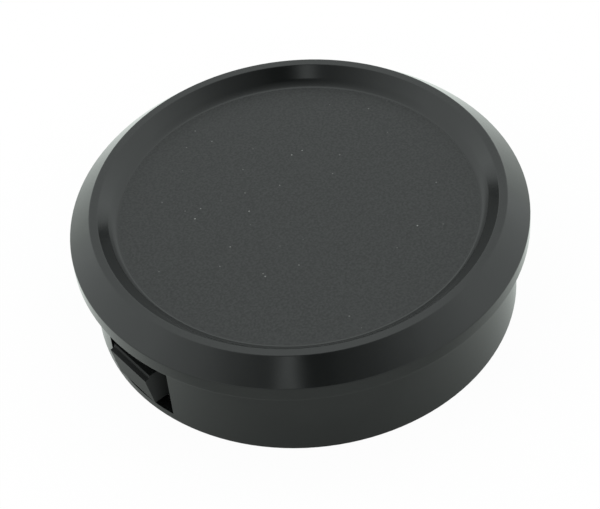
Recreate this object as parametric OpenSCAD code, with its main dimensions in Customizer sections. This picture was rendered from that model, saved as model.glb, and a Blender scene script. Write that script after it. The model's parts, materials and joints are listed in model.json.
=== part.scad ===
// Palm-driven press head for snap-back watch cases.
// A flanged, dished head carries a palm plate on top and a pressing die inside its skirt.
// Two sprung latches in the skirt's windows clip the head into a round stand.
// Millimetres, +Z up, origin at the middle of the skirt's rim, latches on the X axis.

/* [Flange] */
// Diameter over the flange's lip
flange_d = 80; // [78:0.5:84]
// Height of the flange's upright lip
lip_h = 2.85; // [2:0.05:3.2]
// Round on the lip's edges
lip_round = 0.3; // [0.2:0.05:0.8]
// Width of the bevel, from the lip in to the crest
bevel_w = 3.9; // [3.5:0.05:4.5]
// Width of the crest's flat top
crest_w = 1.4; // [1:0.05:1.8]
// Round on the crest's edges
crest_round = 0.3; // [0.2:0.05:0.5]
// Height of the head from rim to crest
head_h = 22.25; // [22:0.05:24]

/* [Skirt] */
// How far the flange's lip overhangs the skirt
lip_overhang = 2.4; // [1.8:0.1:3]
// Height of the skirt from rim to flange
skirt_h = 15.6; // [15:0.1:16]
// Wall thickness of the skirt
skirt_wall = 2.2; // [1.8:0.1:2.4]
// Chamfer on the rim's outer edge
rim_chamfer = 0.3; // [0.1:0.05:0.5]

/* [Dish] */
// Slope of the cove below the crest, in degrees
cove_slope = 47.5; // [44:0.5:52]
// Radius of the curve at the cove's foot
cove_round = 4.5; // [3:0.25:6]
// How far the curve brings the floor's edge in from the foot of the straight slope
cove_set = 0.475; // [0.25:0.025:0.8]
// Depth of the floor below the crest
dish_depth = 2.85; // [2.6:0.05:3.1]
// Thickness of the deck under the palm plate
deck_t = 2.1; // [1.6:0.1:2.2]

/* [Palm plate] */
// Thickness of the palm plate
palm_plate_t = 1.2; // [1:0.1:1.4]
// Gap round the palm plate
palm_plate_gap = 0.02; // [0.02:0.01:0.2]
// Lead-in chamfer under the palm plate's edge
palm_plate_chamfer = 0.2; // [0.1:0.05:0.4]
// Thickness of the adhesive film
adhesive_t = 0.2; // [0.1:0.05:0.3]
// How far the adhesive film stays inside the plate's edge
adhesive_inset = 0.8; // [0.4:0.1:2]

/* [Window] */
// Width of each latch window
window_w = 16.7; // [15.5:0.1:18]
// Height of the window's sill above the rim
window_sill = 1.7; // [1.4:0.1:1.9]
// Height of the window's top above the rim
window_top = 13.4; // [12.9:0.1:14]

/* [Latch] */
// Width of the latch
latch_w = 9.9; // [9:0.1:10.6]
// Thickness of the latch's finger
finger_t = 2.3; // [2:0.1:2.5]
// Height of the hook's top above the rim
hook_top = 9.8; // [9.7:0.1:10.4]
// Chamfer along the hook's top edge
top_chamfer = 0.25; // [0.1:0.05:0.3]
// Height of the hook's ledge above the rim
ledge_z = 9.3; // [9:0.1:9.4]
// Width of the ledge
ledge_w = 0.8; // [0.6:0.1:1]
// How far the ledge falls towards the nose
ledge_fall = 0.15; // [0.05:0.05:0.3]
// How far the nose stands out of the skirt
nose_reach = 1.3; // [1:0.1:1.4]
// Height of the hook's toe above the window's sill
toe_gap = 1; // [0.8:0.05:1.3]
// How far the toe stands out of the skirt
toe_reach = 0.2; // [0:0.05:0.4]
// Height of the stop wings above the hook's toe
wing_rise = 0.7; // [0.5:0.1:1]
// Height of the latch's stop wings
wing_h = 3; // [2.5:0.1:3.5]
// Thickness of the stop wings
wing_t = 1.5; // [1.2:0.1:1.8]
// How far each stop wing reaches behind the skirt
wing_lap = 1.8; // [1.2:0.1:2]
// Gap between a stop wing and the skirt
wing_gap = 0.3; // [0.25:0.05:0.4]

/* [Latch pin] */
// Diameter of the latch pin
pin_d = 2; // [1.8:0.1:2.2]
// Radial clearance of the latch on its pin
pin_clear = 0.05; // [0.03:0.01:0.08]
// Distance of the pin's axis from the inside of the skirt
pin_inset = 2.6; // [2.5:0.1:2.8]
// Distance of the pin's axis below the deck
pin_drop = 2.3; // [2.2:0.1:2.6]
// Radius of the latch's knuckle
knuckle_r = 1.9; // [1.8:0.05:2]
// Thickness of each ear that carries the pin
ear_t = 2.6; // [2.2:0.1:2.8]
// Side gap between the latch and an ear
ear_gap = 0.3; // [0.2:0.05:0.4]
// Clearance of the pin in its slot
slot_clear = 0.03; // [0.02:0.01:0.05]

/* [Latch spring] */
// Outside diameter of the spring's coil
spring_d = 4; // [3.6:0.1:4.2]
// Diameter of the spring's wire
wire_d = 0.45; // [0.35:0.05:0.5]
// Turns of the spring
spring_turns = 5; // [4:1:6]
// Height of the spring's axis above the rim
spring_z = 6.6; // [6:0.1:7]
// Depth of the spring's pocket in the latch
pocket_depth = 0.8; // [0.5:0.1:1]
// Clearance round the spring in its pocket and on its peg
spring_clear = 0.2; // [0.15:0.05:0.25]
// Gap at each end of the spring
spring_end_gap = 0.05; // [0.03:0.01:0.1]
// Length of the peg that locates the spring
peg_l = 1.2; // [0.8:0.1:1.5]
// Thickness of the post that backs the spring
post_t = 2.6; // [2.2:0.1:2.8]
// Width of the post that backs the spring
post_w = 6.4; // [6:0.1:7]
// Clear distance from the post to the latch's finger
post_gap = 5.2; // [5:0.1:5.5]

/* [Latch keeper] */
// Thickness of the keeper that closes the pin's slots
keeper_t = 1.2; // [1:0.1:1.5]
// Width of the keeper across its screws
keeper_w = 28; // [27:0.5:29]
// Distance between the keeper's screws
keeper_pitch = 22.6; // [22:0.1:23]
// Distance of the keeper's screws inside the latch pin
keeper_screw_set = 2.8; // [2.6:0.1:3]
// Gap between the keeper and its neighbours
keeper_gap = 0.4; // [0.3:0.05:0.5]
// Outside diameter of the keeper's screw bosses
keeper_boss_d = 5.2; // [5:0.1:5.4]
// Diameter of the keeper's screws
keeper_screw_d = 2; // [1.8:0.1:2.2]

/* [Fasteners] */
// Wall of a threaded insert
insert_wall = 0.7; // [0.5:0.05:0.8]
// Clearance of a screw in its hole or insert
screw_clear = 0.05; // [0.03:0.01:0.1]
// Clearance of an insert in its boss
insert_clear = 0.02; // [0.01:0.01:0.03]
// Plastic left above an insert
insert_roof = 1.2; // [1:0.1:1.4]
// Height of a screw's head as a share of its diameter
head_h_share = 0.6; // [0.5:0.05:0.7]
// Diameter of a screw's head as a share of its diameter
head_d_share = 1.8; // [1.7:0.05:1.9]
// Depth of a driver recess
driver_depth = 0.7; // [0.5:0.1:0.9]

/* [Thrust plate] */
// Gap between the steel thrust plate and the spring posts
thrust_gap = 2.6; // [1:0.1:4]
// Thickness of the thrust plate
thrust_t = 2.5; // [2:0.1:2.8]
// Diameter of the circle of its screws
thrust_pcd = 30; // [28:0.5:32]
// Diameter of its screws
thrust_screw_d = 3; // [2.5:0.1:3.2]
// Number of its screws
thrust_screws_n = 3; // [3:1:6]
// Outside diameter of its screw bosses
thrust_boss_d = 7.4; // [7:0.1:8]
// Depth of the hub, ribs and bosses below the deck
hub_h = 3; // [2.6:0.1:3.2]
// Diameter of the hub
hub_d = 16; // [14:0.5:17]
// Thickness of the deck's ribs
rib_t = 1.8; // [1.4:0.1:2.2]
// Number of ribs
rib_n = 6; // [4:2:8]

/* [Die spindle] */
// Diameter of the spindle's threaded shank
shank_d = 6; // [5:0.1:6.5]
// Diameter of the spindle's shoulder
shoulder_d = 14; // [12:0.5:16]
// Thickness of the spindle's shoulder
shoulder_t = 1.2; // [1:0.1:1.4]
// Diameter of the spigot that carries the die
spigot_d = 8; // [7.5:0.1:9]
// Length of the spigot below the shoulder
spigot_l = 4; // [3.6:0.1:4.2]
// Lead-in chamfer on the spigot's end
spigot_chamfer = 0.5; // [0.3:0.1:0.7]
// Thickness of the rubber ring on the spigot
ring_t = 1.2; // [1:0.05:1.3]
// How far the rubber ring stands out of its groove
ring_proud = 0.1; // [0.05:0.01:0.12]

/* [Press die] */
// How far the die's edge lies inside the thrust plate's edge
die_set = 1; // [0.5:0.1:3]
// Thickness of the die
die_t = 4.8; // [4.4:0.1:4.9]
// Gap between the die and the spindle's shoulder
die_seat_gap = 0.1; // [0.05:0.05:0.15]
// Radial clearance of the die on its spigot
die_clear = 0.15; // [0.13:0.01:0.2]
// Width of the land that presses, outside the relief in the die's face
die_land = 4.5; // [4:0.1:6]
// Depth of the relief in the die's face
die_relief = 0.6; // [0.4:0.1:0.7]
// Chamfer on the die's edges
die_chamfer = 0.8; // [0.5:0.1:1]
// Width of the rubber facing in the die's relief
facing_w = 6; // [4:0.5:7]
// Thickness of the rubber facing
facing_t = 0.9; // [0.7:0.1:1]
// Gap round the rubber facing
facing_gap = 0.1; // [0.05:0.01:0.2]

/* [Hidden] */

$fn = 96;
cut = 1;
arc_steps = 10;
coil_rings = 8;
wire_sides = 6;
FIRST_SCREW = 90;
LEFT = 180;
RIGHT = 0;

shell_black = [0.055, 0.058, 0.058];
plate_black = [0.08, 0.083, 0.083];
steel = [0.72, 0.73, 0.74];
brass = [0.78, 0.62, 0.32];
nylon = [0.90, 0.89, 0.84];
rubber = [0.12, 0.12, 0.12];
film = [0.75, 0.75, 0.70];

// Flange and dish heights and radii
flange_r = flange_d / 2;
skirt_r = flange_r - lip_overhang;
lip_top = skirt_h + lip_h;
crest_out = flange_r - bevel_w;
crest_in = crest_out - crest_w;
crest_z = head_h - crest_round;
floor_z = head_h - dish_depth;
recess_z = floor_z - palm_plate_t - adhesive_t;
deck_z = recess_z - deck_t;

// The bevel runs from the lip's corner to the crest's outer edge
bevel_normal = atan2(bevel_w, head_h - lip_top);

// The cove runs down straight from the crest's inner edge, along the direction given here, and
// ends in a curve that meets the edge of the floor
cove_way = [cos(cove_slope), sin(cove_slope)];
cove_foot = crest_in - dish_depth / tan(cove_slope);
floor_r = cove_foot - cove_set;
curve_from = sqrt(2 * cove_set * cove_round * cove_way[1] - pow(cove_set * cove_way[1], 2))
    - cove_set * cove_way[0];
curve_centre = [cove_foot, floor_z] + curve_from * cove_way + cove_round * [-cove_way[1], cove_way[0]];
curve_end = atan2(floor_z - curve_centre[1], floor_r - curve_centre[0]);
plate_r = floor_r - palm_plate_gap;

// Skirt and latch places, measured along the latch's own radius
bore_r = skirt_r - skirt_wall;
pin_x = bore_r - pin_inset;
pin_z = deck_z - pin_drop;
pin_r = pin_d / 2;
ear_y = latch_w / 2 + ear_gap;
ear_z = pin_z - pin_r - slot_clear;
pin_l = 2 * (ear_y + ear_t) - 2 * ear_gap;
finger_x = sqrt(pow(bore_r, 2) - pow(latch_w / 2, 2)) - wing_gap;
finger_back = finger_x - finger_t;
nose_x = skirt_r + nose_reach;
ledge_x = nose_x - ledge_w;
toe_z = window_sill + toe_gap;
toe_x = skirt_r + toe_reach;
wing_y = window_w / 2 + wing_lap;
wing_x = sqrt(pow(bore_r, 2) - pow(wing_y, 2)) - wing_gap;
wing_z = toe_z + wing_rise;

// Spring, its post and its pocket
post_x = finger_back - post_gap;
post_z = spring_z - spring_d / 2 - spring_clear;
spring_from = post_x + spring_end_gap;
spring_to = finger_back + pocket_depth - spring_end_gap;
coil_r = (spring_d - wire_d) / 2;
coil_run = spring_to - spring_from - wire_d;
peg_d = spring_d - 2 * wire_d - 2 * spring_clear;

// Keeper and its screws
keeper_z = ear_z - keeper_t;
keeper_screw_x = pin_x - keeper_screw_set;
keeper_in = post_x + keeper_gap;
insert_top = recess_z - insert_roof;

// Thrust plate, spindle and die heights
hub_z = deck_z - hub_h;
thrust_z = hub_z - thrust_t;
thrust_r = post_x - post_t - thrust_gap;
thrust_head_r = thrust_screw_d * head_d_share / 2;
shoulder_z = thrust_z - shoulder_t;
spigot_z = shoulder_z - spigot_l;
ring_z = spigot_z + spigot_l / 2;
ring_r = spigot_d / 2 + ring_proud - ring_t / 2;
die_top = shoulder_z - die_seat_gap;
die_z = die_top - die_t;
die_r = thrust_r - die_set;
relief_r = die_r - die_land;
die_bore_r = spigot_d / 2 + die_clear;
facing_z = die_z + die_relief - facing_t / 3;

function arc(centre, r, from, to) =
    [for (i = [0:arc_steps]) centre + r * [cos(from + (to - from) * i / arc_steps),
        sin(from + (to - from) * i / arc_steps)]];

// Point i of the coil's centre line, wound round the X axis
function coil_point(i, count) =
    let (a = 360 * spring_turns * i / count)
    [spring_from + wire_d / 2 + coil_run * i / count, coil_r * cos(a), spring_z + coil_r * sin(a)];

// Ring i of the coil's wire
function coil_ring(i, count) =
    let (a = 360 * spring_turns * i / count, out = [0, cos(a), sin(a)],
        ahead = [coil_run / (2 * PI * spring_turns * coil_r), -sin(a), cos(a)],
        side = cross(ahead / norm(ahead), out))
    [for (k = [0:wire_sides - 1]) let (b = 360 * k / wire_sides)
        coil_point(i, count) + wire_d / 2 * (cos(b) * out + sin(b) * side)];

// Least gap between one turn of the coil and the next
function coil_gap(count) =
    min([for (i = [0:count], j = [i + coil_rings / 2:count])
        norm(coil_point(i, count) - coil_point(j, count))]) - wire_d;

module on_side(turn) {
    rotate([0, 0, turn]) children();
}

module along_y(r, length) {
    rotate([90, 0, 0]) cylinder(r = r, h = length, center = true);
}

module ring_of(n, pcd, from) {
    for (i = [0:n - 1]) rotate([0, 0, from + 360 * i / n]) translate([pcd / 2, 0, 0]) children();
}

module tube(outer, inner, from, to) {
    translate([0, 0, from]) difference() {
        cylinder(r = outer, h = to - from);
        translate([0, 0, -cut]) cylinder(r = inner, h = to - from + 2 * cut);
    }
}

// A cheese-head screw that points up, its head under the height given
module screw(d, seat_z, tip_z) {
    head_r = d * head_d_share / 2;
    head_t = d * head_h_share;
    difference() {
        union() {
            translate([0, 0, seat_z - head_t]) cylinder(r = head_r, h = head_t);
            translate([0, 0, seat_z - head_t / 2]) cylinder(r = d / 2, h = tip_z - seat_z + head_t / 2);
        }
        translate([0, 0, seat_z - head_t - cut]) cylinder(r = d / 2, h = driver_depth + cut, $fn = 6);
    }
}

// A countersunk screw that points up, its head flush with the face at the height given
module flat_screw(d, face_z, tip_z) {
    head_r = d * head_d_share / 2;
    difference() {
        union() {
            translate([0, 0, face_z]) cylinder(r1 = head_r, r2 = d / 2, h = head_r - d / 2);
            translate([0, 0, face_z]) cylinder(r = d / 2, h = tip_z - face_z);
        }
        translate([0, 0, face_z - cut]) cylinder(r = d / 3, h = driver_depth + cut, $fn = 6);
    }
}

// The shell's section: skirt, lip, bevel, crest, cove and deck
module shell_section() {
    polygon(concat(
        [[bore_r, 0], [skirt_r - rim_chamfer, 0], [skirt_r, rim_chamfer], [skirt_r, skirt_h]],
        arc([flange_r - lip_round, skirt_h + lip_round], lip_round, -90, 0),
        arc([flange_r - lip_round, lip_top - lip_round * tan(bevel_normal / 2)], lip_round, 0,
            bevel_normal),
        arc([crest_out - crest_round * tan((90 - bevel_normal) / 2), crest_z], crest_round,
            bevel_normal, 90),
        arc([crest_in + crest_round * tan(cove_slope / 2), crest_z], crest_round, 90, 90 + cove_slope),
        arc(curve_centre, cove_round, cove_slope - 90, curve_end),
        [[floor_r, recess_z], [0, recess_z], [0, deck_z], [bore_r, deck_z]]
    ));
}

// Ears, keeper bosses and spring post of one latch
module latch_mount() {
    for (y = [-1, 1]) {
        translate([pin_x - knuckle_r, y > 0 ? ear_y : -ear_y - ear_t, ear_z])
            cube([pin_inset + knuckle_r + skirt_wall / 2, ear_t, deck_z - ear_z + deck_t / 2]);
        translate([keeper_screw_x, y * keeper_pitch / 2, ear_z])
            cylinder(d = keeper_boss_d, h = deck_z - ear_z + deck_t / 2);
    }
    translate([post_x - post_t, -post_w / 2, post_z])
        cube([post_t, post_w, deck_z - post_z + deck_t / 2]);
    translate([post_x - post_t / 2, 0, spring_z]) rotate([0, 90, 0])
        cylinder(d = peg_d, h = post_t / 2 + peg_l);
}

// What is cut out of the shell for one latch
module latch_cuts() {
    translate([pin_x, -window_w / 2, window_sill])
        intersection() {
            cube([flange_r, window_w, window_top - window_sill]);
            translate([-pin_x, window_w / 2, 0]) tube(flange_r, bore_r - cut / 4, -cut, skirt_h);
        }
    for (y = [-1, 1]) {
        translate([pin_x, y * (ear_y + ear_t / 2), 0]) {
            translate([0, 0, pin_z]) along_y(pin_r + slot_clear, ear_t + cut / 4);
            translate([-pin_r - slot_clear, -ear_t / 2 - cut / 8, ear_z - cut])
                cube([2 * (pin_r + slot_clear), ear_t + cut / 4, pin_z - ear_z + cut]);
        }
        translate([keeper_screw_x, y * keeper_pitch / 2, ear_z - cut])
            cylinder(r = keeper_screw_d / 2 + insert_wall + insert_clear, h = insert_top - ear_z + cut);
    }
}

module head_shell() {
    color(shell_black) difference() {
        union() {
            rotate_extrude() shell_section();
            translate([0, 0, hub_z]) {
                cylinder(d = hub_d, h = hub_h + deck_t / 2);
                ring_of(thrust_screws_n, thrust_pcd, FIRST_SCREW)
                    cylinder(d = thrust_boss_d, h = hub_h + deck_t / 2);
                for (i = [0:rib_n - 1]) rotate([0, 0, 360 * i / rib_n])
                    translate([0, -rib_t / 2, 0])
                        cube([i % (rib_n / 2) == 0 ? post_x - post_t / 2 : bore_r + skirt_wall / 2,
                            rib_t, hub_h + deck_t / 2]);
            }
            on_side(LEFT) latch_mount();
            on_side(RIGHT) latch_mount();
        }
        on_side(LEFT) latch_cuts();
        on_side(RIGHT) latch_cuts();
        ring_of(thrust_screws_n, thrust_pcd, FIRST_SCREW) translate([0, 0, hub_z - cut])
            cylinder(r = thrust_screw_d / 2 + insert_wall + insert_clear, h = insert_top - hub_z + cut);
        translate([0, 0, hub_z - cut])
            cylinder(r = shank_d / 2 + insert_wall + insert_clear, h = insert_top - hub_z + cut);
    }
}

module palm_plate() {
    plate_z = recess_z + adhesive_t;
    color(plate_black) {
        translate([0, 0, plate_z])
            cylinder(r1 = plate_r - palm_plate_chamfer, r2 = plate_r, h = palm_plate_chamfer);
        translate([0, 0, plate_z + palm_plate_chamfer])
            cylinder(r = plate_r, h = palm_plate_t - palm_plate_chamfer);
    }
}

module plate_adhesive() {
    color(film) translate([0, 0, recess_z]) cylinder(r = plate_r - adhesive_inset, h = adhesive_t);
}

module thrust_plate() {
    color(steel) difference() {
        translate([0, 0, thrust_z]) cylinder(r = thrust_r, h = thrust_t);
        translate([0, 0, thrust_z - cut]) {
            cylinder(r = shank_d / 2 + screw_clear, h = thrust_t + 2 * cut);
            ring_of(thrust_screws_n, thrust_pcd, FIRST_SCREW) {
                cylinder(r = thrust_screw_d / 2 + screw_clear, h = thrust_t + 2 * cut);
                translate([0, 0, cut - screw_clear])
                    cylinder(r1 = thrust_head_r + 2 * screw_clear, r2 = thrust_screw_d / 2 + screw_clear,
                        h = thrust_head_r - thrust_screw_d / 2 + screw_clear);
            }
        }
    }
}

module thrust_screws() {
    color(steel) ring_of(thrust_screws_n, thrust_pcd, FIRST_SCREW)
        flat_screw(thrust_screw_d, thrust_z, insert_top - screw_clear);
}

module thrust_inserts() {
    color(brass) ring_of(thrust_screws_n, thrust_pcd, FIRST_SCREW)
        tube(thrust_screw_d / 2 + insert_wall, thrust_screw_d / 2 + screw_clear, hub_z, insert_top);
}

module die_spindle() {
    color(steel) difference() {
        union() {
            translate([0, 0, shoulder_z]) {
                cylinder(d = shoulder_d, h = shoulder_t);
                cylinder(d = shank_d, h = insert_top - screw_clear - shoulder_z);
            }
            translate([0, 0, spigot_z + spigot_chamfer])
                cylinder(d = spigot_d, h = shoulder_z - spigot_z - spigot_chamfer + shoulder_t / 2);
            translate([0, 0, spigot_z])
                cylinder(d1 = spigot_d - 2 * spigot_chamfer, d2 = spigot_d, h = spigot_chamfer);
        }
        rotate_extrude() translate([ring_r, ring_z]) circle(d = ring_t);
        translate([0, 0, spigot_z - cut]) cylinder(d = spigot_d / 2, h = driver_depth + 2 * cut, $fn = 6);
    }
}

module spindle_insert() {
    color(brass) tube(shank_d / 2 + insert_wall, shank_d / 2 + screw_clear, hub_z, insert_top);
}

module spindle_ring() {
    color(rubber) rotate_extrude() translate([ring_r, ring_z]) circle(d = ring_t - 2 * insert_clear);
}

module press_die() {
    color(nylon) difference() {
        rotate_extrude() polygon([
            [die_bore_r, die_z], [die_r - die_chamfer, die_z], [die_r, die_z + die_chamfer],
            [die_r, die_top - die_chamfer], [die_r - die_chamfer, die_top], [die_bore_r, die_top]
        ]);
        translate([0, 0, die_z - cut]) cylinder(r = relief_r, h = die_relief + cut);
        tube(relief_r - facing_gap, relief_r - facing_w - facing_gap,
            die_z - cut, facing_z + facing_t);
    }
}

module die_facing() {
    color(rubber) tube(relief_r - 2 * facing_gap, relief_r - facing_w, facing_z,
        facing_z + facing_t);
}

// One latch: knuckle, finger, hook and stop wings
module latch() {
    color(shell_black) difference() {
        union() {
            translate([pin_x, 0, pin_z]) along_y(knuckle_r, latch_w);
            rotate([90, 0, 0]) linear_extrude(latch_w, center = true) polygon([
                [finger_back, pin_z], [finger_x, pin_z], [finger_x, hook_top],
                [ledge_x - top_chamfer, hook_top], [ledge_x, hook_top - top_chamfer],
                [ledge_x, ledge_z], [nose_x, ledge_z - ledge_fall], [toe_x, toe_z],
                [finger_back, toe_z]
            ]);
            translate([wing_x - wing_t, -wing_y, wing_z]) cube([wing_t, 2 * wing_y, wing_h]);
        }
        translate([pin_x, 0, pin_z]) along_y(pin_r + pin_clear, latch_w + 2 * cut);
        translate([finger_back - finger_t, 0, spring_z]) rotate([0, 90, 0])
            cylinder(d = spring_d + 2 * spring_clear, h = finger_t + pocket_depth);
    }
}

module latch_left() {
    on_side(LEFT) latch();
}

module latch_right() {
    on_side(RIGHT) latch();
}

module latch_pin() {
    color(steel) translate([pin_x, 0, pin_z]) along_y(pin_r, pin_l);
}

module latch_pin_left() {
    on_side(LEFT) latch_pin();
}

module latch_pin_right() {
    on_side(RIGHT) latch_pin();
}

module latch_spring() {
    rings = spring_turns * coil_rings;
    last = rings * wire_sides;
    points = [for (i = [0:rings]) each coil_ring(i, rings)];
    sides = [for (i = [0:rings - 1], k = [0:wire_sides - 1])
        let (a = i * wire_sides + k, b = i * wire_sides + (k + 1) % wire_sides)
        each [[a, b, b + wire_sides], [a, b + wire_sides, a + wire_sides]]];
    ends = [for (k = [1:wire_sides - 2]) each [[0, k + 1, k], [last, last + k, last + k + 1]]];
    echo(least_gap_between_turns = coil_gap(rings));
    color(steel) polyhedron(points, concat(sides, ends));
}

module latch_spring_left() {
    on_side(LEFT) latch_spring();
}

module latch_spring_right() {
    on_side(RIGHT) latch_spring();
}

// A flat keeper that closes the pin's slots, cut away where the latch swings
module latch_keeper() {
    color(steel) difference() {
        intersection() {
            translate([keeper_in, -keeper_w / 2, keeper_z]) cube([bore_r - keeper_in, keeper_w, keeper_t]);
            translate([0, 0, keeper_z]) cylinder(r = bore_r - keeper_gap, h = keeper_t);
        }
        translate([pin_x - knuckle_r - keeper_gap, -ear_y, keeper_z - cut])
            cube([bore_r, 2 * ear_y, keeper_t + 2 * cut]);
        for (y = [-1, 1]) translate([keeper_screw_x, y * keeper_pitch / 2, keeper_z - cut])
            cylinder(r = keeper_screw_d / 2 + screw_clear, h = keeper_t + 2 * cut);
    }
}

module latch_keeper_left() {
    on_side(LEFT) latch_keeper();
}

module latch_keeper_right() {
    on_side(RIGHT) latch_keeper();
}

module at_keeper_screws() {
    for (turn = [LEFT, RIGHT], y = [-1, 1]) on_side(turn)
        translate([keeper_screw_x, y * keeper_pitch / 2, 0]) children();
}

module keeper_screws() {
    color(steel) at_keeper_screws() screw(keeper_screw_d, keeper_z, insert_top - screw_clear);
}

module keeper_inserts() {
    color(brass) at_keeper_screws()
        tube(keeper_screw_d / 2 + insert_wall, keeper_screw_d / 2 + screw_clear, ear_z, insert_top);
}

head_shell();
palm_plate();
plate_adhesive();
thrust_plate();
thrust_screws();
thrust_inserts();
die_spindle();
spindle_insert();
spindle_ring();
press_die();
die_facing();
latch_left();
latch_right();
latch_pin_left();
latch_pin_right();
latch_spring_left();
latch_spring_right();
latch_keeper_left();
latch_keeper_right();
keeper_screws();
keeper_inserts();
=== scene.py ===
# %% [markdown]
# # A palm press head for watch cases
# The object is a round black moulding that a palm pushes on to snap the back onto a watch case.
# Its top is a shallow dish with a grained plate in it, its flange is bevelled, and a sprung latch
# sits in a window on each side of its skirt. Under the deck are a steel plate, a spigot and a die.
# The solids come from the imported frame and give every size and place. This lesson adds the looks.

import json
import math

import bmesh
import bpy
from mathutils import Matrix, Vector


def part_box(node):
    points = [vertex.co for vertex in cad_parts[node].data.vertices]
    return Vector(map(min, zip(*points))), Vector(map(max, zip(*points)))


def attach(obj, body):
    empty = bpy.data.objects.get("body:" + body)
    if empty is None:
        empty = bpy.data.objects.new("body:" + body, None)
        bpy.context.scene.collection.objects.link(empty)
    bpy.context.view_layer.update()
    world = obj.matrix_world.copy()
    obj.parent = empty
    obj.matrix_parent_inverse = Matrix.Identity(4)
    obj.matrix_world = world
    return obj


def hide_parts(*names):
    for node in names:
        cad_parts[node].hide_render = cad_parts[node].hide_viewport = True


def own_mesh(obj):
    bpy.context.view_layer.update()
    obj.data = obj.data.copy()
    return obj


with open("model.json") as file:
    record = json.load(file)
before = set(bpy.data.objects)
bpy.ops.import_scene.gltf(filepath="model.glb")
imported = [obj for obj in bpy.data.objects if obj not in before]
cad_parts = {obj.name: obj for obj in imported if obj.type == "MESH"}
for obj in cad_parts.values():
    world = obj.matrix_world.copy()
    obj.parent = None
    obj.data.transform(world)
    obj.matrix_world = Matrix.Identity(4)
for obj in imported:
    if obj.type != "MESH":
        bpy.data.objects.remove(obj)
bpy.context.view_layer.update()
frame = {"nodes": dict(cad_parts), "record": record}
nodes = frame["nodes"]
MM = 0.001

record = frame["record"]
body_of = {name: body for body, names in record["behaviour"]["bodies"].items() for name in names}

shell_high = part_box("head_shell")[1]
flange_r = shell_high.x
head_h = shell_high.z
print("frame:", len(nodes), "nodes, flange radius", round(flange_r / MM, 2), "mm")

# %% [markdown]
# ## The camera
# A camera is a place, a direction and a lens. The photograph's circles turn into ellipses whose
# widths, heights and offsets fix all three, so the view is written as an azimuth, an elevation and
# a roll about the line of sight, and a long lens. Distances are in flange radii, because a picture
# gives no other length.

# %% Place the camera
PICTURE_WIDTH = 600
FOCAL_PIXELS = 2000
SENSOR_WIDTH = 36
NEAREST = 10 * MM
AZIMUTH = math.radians(-35.5)
ELEVATION = math.radians(46.02)
ROLL = math.radians(-6.4)
DISTANCE = 9.015 * flange_r
ASIDE = 0.0301 * flange_r
ABOVE = -0.1356 * flange_r


def towards(azimuth, elevation):
    """A direction in the room: turned from the head's front, and raised above the table."""
    return Vector((
        math.sin(azimuth) * math.cos(elevation),
        -math.cos(azimuth) * math.cos(elevation),
        math.sin(elevation),
    ))


back = towards(AZIMUTH, ELEVATION)
level = Vector((math.cos(AZIMUTH), math.sin(AZIMUTH), 0))
raised = back.cross(level)
across = math.cos(ROLL) * level + math.sin(ROLL) * raised
upward = math.cos(ROLL) * raised - math.sin(ROLL) * level

lens = bpy.data.cameras.new("camera")
lens.sensor_fit = "HORIZONTAL"
lens.sensor_width = SENSOR_WIDTH
lens.lens = SENSOR_WIDTH * FOCAL_PIXELS / PICTURE_WIDTH
lens.clip_start = NEAREST
camera = bpy.data.objects.new("camera", lens)
turned = Matrix((across, upward, back)).transposed().to_4x4()
moved = Matrix.Translation(back * DISTANCE - across * ASIDE - upward * ABOVE)
camera.matrix_world = moved @ turned
bpy.context.scene.collection.objects.link(camera)
bpy.context.scene.camera = camera
print("camera:", [round(x, 3) for x in camera.location], "m, lens", round(lens.lens), "mm")

# %% [markdown]
# ## Shader maths in Python
# A finish is a graph of nodes. Written node by node it is hard to read, so one small class wraps a
# node's output and overloads the operators: `1 - mask * 0.2` then adds the Math nodes by itself.
# Every other node comes from one method, which sets the node up first and fills its sockets next.

# %% Wrap a socket
class Wire:
    """One output of a node. Sums, products and the like of wires add Math nodes to its graph."""

    def __init__(self, graph, output):
        self.graph = graph
        self.output = output

    def __getitem__(self, name):
        """Another output of the same node."""
        return Wire(self.graph, self.output.node.outputs[name])

    def math(self, operation, first, second):
        return self.graph.node("ShaderNodeMath", {"operation": operation}, {0: first, 1: second})

    def __add__(self, other):
        return self.math("ADD", self, other)

    def __radd__(self, other):
        return self.math("ADD", other, self)

    def __sub__(self, other):
        return self.math("SUBTRACT", self, other)

    def __rsub__(self, other):
        return self.math("SUBTRACT", other, self)

    def __mul__(self, other):
        return self.math("MULTIPLY", self, other)

    def __rmul__(self, other):
        return self.math("MULTIPLY", other, self)

    def __truediv__(self, other):
        return self.math("DIVIDE", self, other)

    def __pow__(self, other):
        return self.math("POWER", self, other)

    def over(self, level):
        """One where the value is over the level, and nothing elsewhere."""
        return self.math("GREATER_THAN", self, level)

    def at_least(self, level):
        return self.math("MAXIMUM", self, level)


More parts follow.
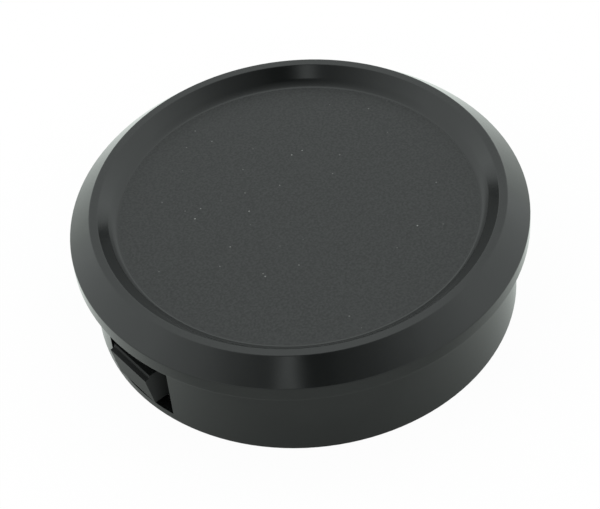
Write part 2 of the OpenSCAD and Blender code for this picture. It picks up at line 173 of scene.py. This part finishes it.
# %% Wrap a node tree
class Graph:
    """A node tree that is filled from Python expressions."""

    def __init__(self, tree):
        self.tree = tree
        tree.nodes.clear()

    def node(self, kind, settings=None, sockets=None, output=0):
        """Any node: its settings come first, then the values or links of its sockets."""
        made = self.tree.nodes.new(kind)
        for name, value in (settings or {}).items():
            if name == "stops":
                ramp = made.color_ramp
                while len(ramp.elements) < len(value):
                    ramp.elements.new(1)
                for element, (place, shade) in zip(ramp.elements, value):
                    element.position = place
                    element.color = (shade, shade, shade, 1)
            else:
                setattr(made, name, value)
        for name, value in (sockets or {}).items():
            if isinstance(value, Wire):
                self.tree.links.new(value.output, made.inputs[name])
            else:
                made.inputs[name].default_value = value
        return Wire(self, made.outputs[output]) if made.outputs else None

    def ramp(self, factor, *stops):
        return self.node("ShaderNodeValToRGB", {"stops": stops}, {"Fac": factor})

    def blend(self, factor, first, second):
        """Mixes two colours. A plain colour has three numbers."""
        colours = {6: first, 7: second}
        full = {k: v if isinstance(v, Wire) else (*v, 1) for k, v in colours.items()}
        return self.node("ShaderNodeMix", {"data_type": "RGBA"}, {0: factor, **full}, output=2)

    def mixed(self, factor, first, second):
        """Mixes two shaders."""
        return self.node("ShaderNodeMixShader", sockets={0: factor, 1: first, 2: second})

    def place(self, scale=None):
        """A point's place on its piece, in metres. A scale under 1 stretches what is read there."""
        coords = self.node("ShaderNodeTexCoord", output="Object")
        if scale is None:
            return coords
        return self.node("ShaderNodeMapping", sockets={"Vector": coords, "Scale": scale})

    def axes(self):
        """The three coordinates of a point, in metres."""
        split = self.node("ShaderNodeSeparateXYZ", sockets={"Vector": self.place()})
        return split, split["Y"], split["Z"]

    def radius(self):
        """The distance from the head's axis, in metres."""
        x, y, _ = self.axes()
        return (x * x + y * y) ** 0.5

    def dot(self, first, second):
        """How far two directions agree."""
        kind = {"operation": "DOT_PRODUCT"}
        sockets = {0: first, 1: tuple(second)}
        return self.node("ShaderNodeVectorMath", kind, sockets, output="Value")

    def noise(self, size, detail=2.0, where=None):
        """Soft noise whose blotches are about the given size across, in metres."""
        sockets = {"Vector": where or self.place(), "Scale": 1 / size, "Detail": detail}
        return self.node("ShaderNodeTexNoise", sockets=sockets, output="Fac")

    def between(self, value, start, end, first, last):
        """Runs from first to last while the value runs from start to end, and stays there."""
        source = {"Value": value, "From Min": start, "From Max": end}
        return self.node("ShaderNodeMapRange", sockets={**source, "To Min": first, "To Max": last})

    def joined(self, x, y, z):
        return self.node("ShaderNodeCombineXYZ", sockets={"X": x, "Y": y, "Z": z})

    def bump(self, height, distance):
        sockets = {"Height": height, "Distance": distance, "Strength": 1.0}
        return self.node("ShaderNodeBump", sockets=sockets)


def new_graph(name):
    material = bpy.data.materials.new(name)
    material.use_nodes = True
    return material, Graph(material.node_tree)


def finish(material, colour, roughness, normal, plain):
    """Ends a material: what varies is wired in, and plain values sit on the shader's sockets."""
    graph = colour.graph
    varying = {"Base Color": colour, "Roughness": roughness, "Normal": normal}
    surface = graph.node("ShaderNodeBsdfPrincipled", sockets={**varying, **plain})
    graph.node("ShaderNodeOutputMaterial", sockets={"Surface": surface})
    print("finish:", material.name, "with", len(graph.tree.nodes), "nodes")
    return material


# %% [markdown]
# ## The stage
# The object stands on white paper, a round sheet that is so wide that its edge doesn't show. It
# lies a hair under the rim of the skirt, so that rim and paper never share a plane.

# %% Make the floor
FLOOR_R = 3.0
FLOOR_SIDES = 96
UNDER_RIM = 0.02 * MM

shape = bmesh.new()
bmesh.ops.create_circle(shape, cap_ends=True, segments=FLOOR_SIDES, radius=FLOOR_R)
bmesh.ops.translate(shape, verts=shape.verts, vec=(0, 0, -UNDER_RIM))
floor_mesh = bpy.data.meshes.new("floor")
shape.to_mesh(floor_mesh)
shape.free()
floor = bpy.data.objects.new("floor", floor_mesh)
bpy.context.scene.collection.objects.link(floor)
print("floor:", FLOOR_R, "m radius")

# %% [markdown]
# ## White paper
# To the camera the paper is white, with a trace of the real shade at the object's foot. The skirt
# is glossy enough to mirror the paper next to it, and there the photograph tells how bright that
# paper is: less than half as bright on the camera's side, which looks into the dark end of the
# room, as on the far side, and dimmer still right under the flange. Both are painted into a glow
# that only
# reflections see: a painted shade on the camera's side and a painted shadow under the flange.
# Inside the skirt nothing glows, or light would leak out through the latch windows. Seen from
# below, the paper is clear, so that the inside of the skirt shows.

# %% Finish of the floor
PAPER_WHITE = (0.9, 0.9, 0.9, 1)
CAMERA_SHADE = 0.03
SHADE_REACH = 75 * MM
SHADE_FULL = 0.55
GLOW_FROM = 0.93 * flange_r
FAR_SIDE = -8 * MM
NEAR_SIDE = 42 * MM
FAR_MIRROR = 1.2
NEAR_MIRROR = 0.44
MIRROR_TINT = (0.90, 0.97, 0.925)
# painted shadow under the flange, in the glow that reflections see
CONTACT_FROM = 37 * MM
CONTACT_TO = 46 * MM
CONTACT_SHADE = 0.68

paper, graph = new_graph("white_paper")
from_axis = graph.radius()
to_front = graph.dot(graph.place(), towards(AZIMUTH, 0))
close_by = graph.ramp(from_axis / SHADE_REACH, (SHADE_FULL, 1), (1, 0))
# painted shadow under the flange and painted shade towards the camera, seen only in reflections
painted_contact_shade = graph.between(from_axis, CONTACT_FROM, CONTACT_TO, CONTACT_SHADE, 1)
painted_mirror_light = painted_contact_shade * graph.between(to_front, FAR_SIDE, NEAR_SIDE, FAR_MIRROR, NEAR_MIRROR)

rays = graph.node("ShaderNodeLightPath")
direct = rays["Is Camera Ray"] + rays["Is Transmission Ray"]
glossy = rays["Is Glossy Ray"]
glowing = direct * (1 - CAMERA_SHADE * close_by) + glossy
shine = glossy * painted_mirror_light
tinted = graph.joined(*(direct + share * shine for share in MIRROR_TINT))
glow = graph.node("ShaderNodeEmission", sockets={"Color": tinted})
lit = graph.node("ShaderNodeBsdfDiffuse", sockets={"Color": PAPER_WHITE})
sheet = graph.mixed(glowing * from_axis.over(GLOW_FROM), lit, glow)

underside = graph.node("ShaderNodeNewGeometry", output="Backfacing")
from_below = (underside + rays["Transparent Depth"]).over(0)
clear = graph.node("ShaderNodeBsdfTransparent")
surface = graph.mixed(from_below, sheet, clear)
graph.node("ShaderNodeOutputMaterial", sockets={"Surface": surface})
floor_mesh.materials.append(paper)
print("finish:", paper.name, "with", len(graph.tree.nodes), "nodes")

# %% [markdown]
# ## The light
# A black satin moulding shows little colour of its own: what it shows is the room. In the
# photograph every face that looks back at the camera is nearly black and every other face mirrors
# an even white, so the room is a white tent with a dark opening where the camera stands. Behind the
# object the tent is dimmer low down, because the near side of the cove mirrors that band and is
# dark. The light is slightly cool, as the greys in the photograph are. A small lamp next to the
# camera leaves the two faint spots on the near bevel and on the far wall of the dish.

# %% Light the room
TENT = 1.1
TENT_TINT = (0.94, 1, 0.985)
OPENING_ELEVATION = math.radians(48)
OPENING = ((0.45, 1.08), (0.74, 0.71), (0.925, 0.27), (0.982, 0.15), (0.998, 0.03))
BEHIND_FROM = 0.60
BEHIND_TO = 0.80
DIMMED = ((0.10, 0.60), (0.19, 0.58), (0.30, 0.20), (0.40, 0), (0.60, 0.14), (0.70, 0.30))
LAMP = 1.15
LAMP_ASIDE = math.radians(-14)
LAMP_ELEVATION = math.radians(43)
LAMP_FOCUS = 420

world = bpy.data.worlds.new("tent")
bpy.context.scene.world = world
world.use_nodes = True
graph = Graph(world.node_tree)
way = graph.node("ShaderNodeTexCoord", output="Generated")
to_opening = graph.dot(way, towards(AZIMUTH, OPENING_ELEVATION))
to_lamp = graph.dot(way, towards(AZIMUTH + LAMP_ASIDE, LAMP_ELEVATION))
to_far = graph.dot(way, towards(AZIMUTH + math.pi, 0))
rise = graph.dot(way, (0, 0, 1))
opening = graph.ramp(to_opening, *OPENING)
behind = graph.between(to_far, BEHIND_FROM, BEHIND_TO, 0, 1)
gap = 1 - behind * graph.ramp(rise, *DIMMED)
lamp = to_lamp.at_least(0) ** LAMP_FOCUS
light = TENT * opening * gap + LAMP * lamp
tinted = graph.joined(*(share * light for share in TENT_TINT))

rays = graph.node("ShaderNodeLightPath")
around = graph.node("ShaderNodeBackground", sockets={"Color": tinted})
white = graph.node("ShaderNodeBackground", sockets={"Color": (1, 1, 1, 1)})
sky = graph.mixed(rays["Is Camera Ray"], around, white)
graph.node("ShaderNodeOutputWorld", sockets={"Surface": sky})

bpy.context.scene.view_settings.view_transform = "Standard"
print("light: tent", TENT, "and a lamp of", LAMP)

# %% [markdown]
# ## Black moulding
# The shell and the latches are black plastic from a polished mould. Such a surface has a slight
# orange peel, a few dull patches where hands have been, and a duller line along the crest, where it
# is set down on the bench, which is also painted lighter as a painted highlight along the crest.
# Nearly all of this is roughness and a very small bump: the colour hardly varies. The latches are
# duller all over, and their end faces are painted a lighter grey, a painted light on shaded faces.

# %% Finish of the shell and the latches
PEEL = 0.22 * MM
PEEL_DEPTH = 0.0025 * MM
SMUDGE = 7 * MM
SCRATCH = 0.5 * MM
CREST_BAND = 0.15 * MM
CREST_WEAR_AND_HIGHLIGHT = 0.1
ENDWAYS = 0.9
CLEAN_BLACK = (0.0068, 0.0075, 0.0074)
HANDLED_BLACK = (0.0095, 0.0102, 0.0101)
# the worn grey is crest wear and a painted highlight; the end-face grey is painted light
WORN_AND_LIT_GREY = (0.035, 0.036, 0.036)
PAINTED_END_GREY = (0.10, 0.101, 0.1)


def black_moulding(name, ior, dull, ends_painted_lighter):
    """Black plastic. The last argument says how much greyer its faces across Y are painted: painted
    light.
    """
    material, graph = new_graph(name)
    height = graph.axes()[2]
    peel = graph.noise(PEEL)
    smudge = graph.noise(SMUDGE, detail=3)
    scratch = graph.between(graph.noise(SCRATCH, detail=3), 0.35, 0.65, 0.4, 1)
    # scuffs along the crest: real wear in the roughness, a painted highlight in the colour
    scuff_and_highlight = scratch * graph.between(height, head_h - CREST_BAND, head_h, 0, 1)
    facing = graph.node("ShaderNodeTexCoord", output="Normal")
    endways = graph.node("ShaderNodeSeparateXYZ", sockets={"Vector": facing}, output="Y")
    # painted light: faces across Y, the latches' shaded end faces, are painted a lighter grey
    painted_end_faces = (endways * endways).over(ENDWAYS) * ends_painted_lighter
    black = graph.blend(smudge, CLEAN_BLACK, HANDLED_BLACK)
    worn_and_lit = graph.blend(scuff_and_highlight * CREST_WEAR_AND_HIGHLIGHT, black, WORN_AND_LIT_GREY)
    colour = graph.blend(painted_end_faces, worn_and_lit, PAINTED_END_GREY)
    roughness = dull + 0.04 * peel + 0.05 * smudge + 0.08 * scuff_and_highlight + 0.2 * painted_end_faces
    return finish(material, colour, roughness, graph.bump(peel, PEEL_DEPTH), {"IOR": ior})


moulded = black_moulding("black_moulding", ior=1.55, dull=0.10, ends_painted_lighter=0)
ends_painted_lighter = black_moulding("latch_moulding_painted_ends", ior=1.36, dull=0.42, ends_painted_lighter=0.4)

# %% [markdown]
# ## Grained plate
# The plate under the palm has a fine spark-eroded grain, so that it doesn't slip. The grain is
# finer than a pixel of the photograph and shows as a soft sheen with a slight sparkle; its hollows
# are also painted darker and its peaks lighter, a painted shade and sparkle. A little dust lies in
# it. Dust is scattered by cells: each cell draws a random number, and some cells get a speck.

# %% Finish of the palm plate
GRAIN = 0.42 * MM
GRAIN_DEPTH = 0.02 * MM
PATCH = 9 * MM
# painted shade in the grain's hollows and painted sparkle on its peaks
HOLLOW_SHADE_BLACK = (0.005, 0.0055, 0.0055)
PEAK_SPARKLE_BLACK = (0.023, 0.0237, 0.0237)
DUST_WHITE = (0.8, 0.8, 0.78)
DUST_CELL = 2.0 * MM
DUST_SPECK = 0.075
DUST_DRIFT = 4 * MM
DUSTY_SHARE = 0.35


def grained_plate():
    material, graph = new_graph("grained_plate")
    grain = graph.noise(GRAIN, detail=3)
    patch = graph.noise(PATCH)
    sockets = {"Vector": graph.place(), "Scale": 1 / DUST_CELL}
    cells = graph.node("ShaderNodeTexVoronoi", sockets=sockets, output="Distance")
    drawn = graph.node("ShaderNodeSeparateColor", sockets={"Color": cells["Color"]})
    dust = (DUST_SPECK - cells).over(0) * drawn.over(1 - DUSTY_SHARE)
    pale = graph.between(graph.noise(DUST_DRIFT), 0.4, 0.65, 0.04, 0.35)
    # painted shade and sparkle: the grain's hollows painted darker, its peaks lighter
    grain_shade_and_sparkle = graph.between(grain, 0.36, 0.64, 0, 1)
    black = graph.blend(grain_shade_and_sparkle, HOLLOW_SHADE_BLACK, PEAK_SPARKLE_BLACK)
    colour = graph.blend(dust * pale, black, DUST_WHITE)
    roughness = 0.27 + 0.12 * grain + 0.05 * patch
    return finish(material, colour, roughness, graph.bump(grain, GRAIN_DEPTH), {"IOR": 1.5})


grained = grained_plate()

# %% [markdown]
# ## Steel
# The hidden metal is plain steel, and how a piece was made shows on it. The thrust plate and the
# spindle were turned, so they carry fine rings round the axis. The keepers were stamped from rolled
# strip, with the grain of the rolls along it. Screws, pins and springs are bright and nearly even.
# All of these lines are noise that is stretched: along the ring, along the strip, or not at all.

# %% Finishes of the steel pieces
STAIN = 6 * MM
DARK_STEEL = (0.50, 0.505, 0.51)
LIGHT_STEEL = (0.66, 0.665, 0.67)
ALONG_STRIP = (1, 0.04, 1)
METAL = {"Metallic": 1.0}


def steel(name, lines, size, dull, groove):
    """Bright steel. The lines are where its noise is read, and say which way its marks run."""
    material, graph = new_graph(name)
    marks = graph.noise(size, detail=3, where=lines(graph))
    stain = graph.noise(STAIN, detail=3)
    colour = graph.blend(0.6 * marks + 0.4 * stain, DARK_STEEL, LIGHT_STEEL)
    roughness = dull + 0.16 * marks + 0.08 * stain
    return finish(material, colour, roughness, graph.bump(marks, groove), METAL)


def rings_across(graph):
    return graph.joined(graph.radius(), 0, 0)


def rings_along(graph):
    return graph.joined(graph.axes()[2], 0, 0)


def rolled(graph):
    return graph.place(scale=ALONG_STRIP)


faced_steel = steel("faced_steel", rings_across, 0.14 * MM, dull=0.20, groove=0.003 * MM)
turned_steel = steel("turned_steel", rings_along, 0.12 * MM, dull=0.18, groove=0.003 * MM)
rolled_steel = steel("rolled_steel", rolled, 0.10 * MM, dull=0.24, groove=0.002 * MM)
bright_steel = steel("bright_steel", Graph.place, 0.25 * MM, dull=0.16, groove=0.001 * MM)

# %% [markdown]
# ## Brass, nylon, rubber and film
# The inserts that take the screws are turned brass. The die is natural nylon, cream-coloured and
# turned on its face, so it doesn't mark a watch case. Its facing ring and the ring on the spigot
# are black rubber with a fine matt skin, and a pale film holds the palm plate in its recess.

# %% Finishes of the other pieces
DARK_BRASS, LIGHT_BRASS = (0.56, 0.38, 0.13), (0.72, 0.53, 0.23)
DARK_CREAM, LIGHT_CREAM = (0.68, 0.65, 0.57), (0.80, 0.78, 0.71)
DARK_RUBBER, LIGHT_RUBBER = (0.018, 0.018, 0.018), (0.034, 0.034, 0.035)
DARK_FILM, LIGHT_FILM = (0.66, 0.65, 0.58), (0.78, 0.77, 0.71)


def turned_brass():
    material, graph = new_graph("turned_brass")
    marks = graph.noise(0.12 * MM, detail=3, where=rings_along(graph))
    colour = graph.blend(marks, DARK_BRASS, LIGHT_BRASS)
    return finish(material, colour, 0.22 + 0.14 * marks, graph.bump(marks, 0.003 * MM), METAL)


def turned_nylon():
    material, graph = new_graph("turned_nylon")
    marks = graph.noise(0.16 * MM, where=rings_across(graph))
    cloud = graph.noise(5 * MM, detail=3)
    colour = graph.blend(0.4 * marks + 0.6 * cloud, DARK_CREAM, LIGHT_CREAM)
    roughness = 0.40 + 0.12 * marks
    return finish(material, colour, roughness, graph.bump(marks, 0.004 * MM), {"IOR": 1.53})


def black_rubber():
    material, graph = new_graph("black_rubber")
    skin = graph.noise(0.12 * MM, detail=3)
    bloom = graph.noise(4 * MM)
    colour = graph.blend(bloom, DARK_RUBBER, LIGHT_RUBBER)
    roughness = 0.66 + 0.16 * skin
    return finish(material, colour, roughness, graph.bump(skin, 0.012 * MM), {"IOR": 1.5})


def pale_film():
    material, graph = new_graph("pale_film")
    weave = graph.noise(0.4 * MM, detail=3)
    colour = graph.blend(weave, DARK_FILM, LIGHT_FILM)
    roughness = 0.45 + 0.15 * weave
    return finish(material, colour, roughness, graph.bump(weave, 0.004 * MM), {"IOR": 1.45})


brass = turned_brass()
nylon = turned_nylon()
rubber = black_rubber()
film = pale_film()

# %% [markdown]
# ## Dressing the solids
# Every solid gets its finish here. Those that another piece stands for get theirs as well, so the
# table below is the whole list of what each piece is made of.

# %% Give each solid its finish
dress = {
    "head_shell": moulded, "latch_left": ends_painted_lighter, "latch_right": ends_painted_lighter,
    "palm_plate": grained, "plate_adhesive": film,
    "thrust_plate": faced_steel, "die_spindle": turned_steel,
    "latch_keeper_left": rolled_steel, "latch_keeper_right": rolled_steel,
    "thrust_screws": bright_steel, "keeper_screws": bright_steel,
    "latch_pin_left": bright_steel, "latch_pin_right": bright_steel,
    "latch_spring_left": bright_steel, "latch_spring_right": bright_steel,
    "thrust_inserts": brass, "spindle_insert": brass, "keeper_inserts": brass,
    "press_die": nylon, "die_facing": rubber, "spindle_ring": rubber,
}
for name, node in nodes.items():
    node.data.materials.clear()
    node.data.materials.append(dress[name])
print("dressed:", len(dress), "solids")

# %% [markdown]
# ## A plate seated in its recess
# The solids arrive as loose triangles. Before one can be worked on, a copy of it is merged, and
# flat neighbours are dissolved into whole faces. The finished copy takes the solid's place and
# rides on the same body. The palm plate is the first. Its circle and that of its recess are many
# short straight sides, and the slivers between them would show as a broken line, so the copy is
# carried out to the recess's wall.

# %% Seat the palm plate
MERGE = 0.001 * MM
FLAT = math.radians(0.3)
SMOOTH = math.radians(35)
PLATE_SPREAD = 0.05 * MM


def placed(name, shape, material):
    """Turns a bmesh into an object that is smooth apart from its sharp edges."""
    mesh = bpy.data.meshes.new(name)
    shape.to_mesh(mesh)
    shape.free()
    mesh.shade_smooth()
    mesh.set_sharp_from_angle(angle=SMOOTH)
    mesh.materials.append(material)
    piece = bpy.data.objects.new(name, mesh)
    bpy.context.scene.collection.objects.link(piece)
    return piece


def stands_for(piece, node):
    """Puts a piece in a solid's place and on its body."""
    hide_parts(node)
    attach(piece, body_of[node])


def merged(node):
    """A copy of a solid's mesh with its triangles joined and its flat faces whole."""
    shape = bmesh.new()
    shape.from_mesh(nodes[node].data)
    bmesh.ops.remove_doubles(shape, verts=shape.verts, dist=MERGE)
    bmesh.ops.dissolve_limit(shape, angle_limit=FLAT, verts=shape.verts, edges=shape.edges)
    return shape


def seated(node, spread):
    """A copy of a flush plate that fills its recess out to the wall."""
    shape = merged(node)
    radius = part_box(node)[1].x
    grown = 1 + spread / radius
    bmesh.ops.scale(shape, vec=(grown, grown, 1), verts=shape.verts)
    piece = placed(node + "_seated", shape, dress[node])
    stands_for(piece, node)
    print(piece.name, round(radius * grown / MM, 2), "mm radius")


seated("palm_plate", PLATE_SPREAD)

# %% [markdown]
# ## Rounded edges
# A solid model has edges without any width, and a real edge catches a line of light. A bevel on
# each edge that turns sharply makes that line. The shell's edge round the plate stays sharp,
# because two flush pieces meet there in a tight seam.

# %% Round the sharp edges
SHARP = math.radians(25)
SEAM = 0.02 * MM
EDGE_STEPS = 2
plate_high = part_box("palm_plate")[1]
plate_r = plate_high.x
plate_top = plate_high.z


def round_plate(edge):
    """Whether an edge runs round the palm plate."""
    return all(abs(vert.co.z - plate_top) < SEAM for vert in edge.verts)


def rounded(node, width):
    """A copy of a solid whose sharp edges are rounded."""
    shape = merged(node)
    turning = [edge for edge in shape.edges if edge.calc_face_angle(0) > SHARP]
    sharp = [edge for edge in turning if not round_plate(edge)]
    bmesh.ops.bevel(
        shape, geom=sharp, offset=width, offset_type="OFFSET", segments=EDGE_STEPS, profile=0.5,
        affect="EDGES", clamp_overlap=True, material=-1,
    )
    piece = placed(node + "_rounded", shape, dress[node])
    even = piece.modifiers.new("even", "WEIGHTED_NORMAL")
    even.keep_sharp = True
    stands_for(piece, node)
    faces = len(piece.data.polygons)
    print(piece.name, len(sharp), "edges rounded by", round(width / MM, 2), "mm,", faces, "faces")


edge_widths = {
    "head_shell": 0.12, "latch_left": 0.15, "latch_right": 0.15,
    "thrust_plate": 0.15, "die_spindle": 0.1, "thrust_screws": 0.06, "keeper_screws": 0.08,
    "latch_keeper_left": 0.12, "latch_keeper_right": 0.12, "press_die": 0.12, "die_facing": 0.1,
}
for node, width in edge_widths.items():
    rounded(node, width * MM)

# %% [markdown]
# ## Seam round the plate
# The plate's edge doesn't end in an open gap: a fine bead fills the corner between the flat plate
# and the foot of the cove, and catches a line of light on the far side. The bead's section is a
# short hollow arc that leaves the plate flat and ends at the slope of the cove. A vertex spun about
# the arc's centre makes it, and the closed section is then spun round the head's axis.

# %% Bead in the corner round the plate
FULL_TURN = 2 * math.pi
BEAD_ROUND = 1.0 * MM
BEAD_ON_PLATE = 0.21 * MM
BEAD_DEPTH = 0.1 * MM
BEAD_LIFT = 0.002 * MM
BEAD_SLOPE = math.radians(28)
ARC_STEPS = 6
BEAD_STEPS = 192

bead_from = plate_r - BEAD_ON_PLATE
bead_top = plate_top + BEAD_LIFT
bead_foot = plate_top - BEAD_DEPTH
shape = bmesh.new()
first = shape.verts.new((bead_from, 0, bead_top))
bmesh.ops.spin(
    shape, geom=[first], cent=(bead_from, 0, bead_top + BEAD_ROUND), axis=(0, 1, 0),
    angle=-BEAD_SLOPE, steps=ARC_STEPS,
)
last = max(shape.verts, key=lambda vert: vert.co.x)
below = [shape.verts.new((vert.co.x, 0, bead_foot)) for vert in (last, first)]
for start, end in ((last, below[0]), (below[0], below[1]), (below[1], first)):
    shape.edges.new((start, end))
bmesh.ops.spin(
    shape, geom=shape.edges[:], cent=(0, 0, 0), axis=(0, 0, 1), angle=FULL_TURN,
    steps=BEAD_STEPS, use_merge=True,
)
bmesh.ops.remove_doubles(shape, verts=shape.verts, dist=MERGE)
bmesh.ops.recalc_face_normals(shape, faces=shape.faces)
bead = placed("plate_bead", shape, moulded)
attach(bead, body_of["palm_plate"])
print(bead.name, round(bead.dimensions.x / MM, 2), "mm across,", len(bead.data.polygons), "faces")

# %% [markdown]
# ## Latch springs
# A small coil spring pushes each latch out. A coil is a circle of wire that is spun round an axis
# and moved along it a little at each step. Real springs close up at both ends, to stand square on
# what they push, so the first and the last turn advance by about one wire and the turns between
# share the rest.

# %% Wind the springs
WIRE = 0.45 * MM
WIRE_SIDES = 12
STEPS_A_TURN = 28
OPEN_TURNS = 3
CLOSED_TURNS = 2
CLOSED_PITCH = 1.04 * WIRE


def wound(side):
    """A coil in the place of one latch's spring, from its inner end outwards."""
    node = "latch_spring_" + side
    low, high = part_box(node)
    middle = (low + high) / 2
    outwards = math.copysign(1, middle.x)
    inner_end = min(low.x, high.x, key=abs)
    run = high.x - low.x - WIRE
    open_pitch = (run - CLOSED_TURNS * CLOSED_PITCH) / OPEN_TURNS
    coil_r = (high.y - low.y - WIRE) / 2

    shape = bmesh.new()
    ring = bmesh.ops.create_circle(shape, segments=WIRE_SIDES, radius=WIRE / 2)["verts"]
    start = Vector((inner_end + outwards * WIRE / 2, coil_r, middle.z))
    bmesh.ops.translate(shape, verts=ring, vec=start)
    front = list(shape.edges)
    for turns, pitch in ((1, CLOSED_PITCH), (OPEN_TURNS, open_pitch), (1, CLOSED_PITCH)):
        advance = Vector((outwards * pitch / STEPS_A_TURN, 0, 0))
        spun = bmesh.ops.spin(
            shape, geom=front, cent=(0, 0, middle.z), axis=(1, 0, 0), dvec=advance,
            angle=turns * FULL_TURN, steps=turns * STEPS_A_TURN, use_merge=False,
        )
        front = [part for part in spun["geom_last"] if isinstance(part, bmesh.types.BMEdge)]
    bmesh.ops.remove_doubles(shape, verts=shape.verts, dist=MERGE)
    open_ends = [edge for edge in shape.edges if edge.is_boundary]
    bmesh.ops.holes_fill(shape, edges=open_ends, sides=0)
    bmesh.ops.recalc_face_normals(shape, faces=shape.faces)
    spring = placed("coil_spring_" + side, shape, bright_steel)
    stands_for(spring, node)
    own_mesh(spring)
    all_turns = OPEN_TURNS + CLOSED_TURNS
    print(spring.name, "has", all_turns, "turns and", len(spring.data.polygons), "faces")


for side in ("left", "right"):
    wound(side)
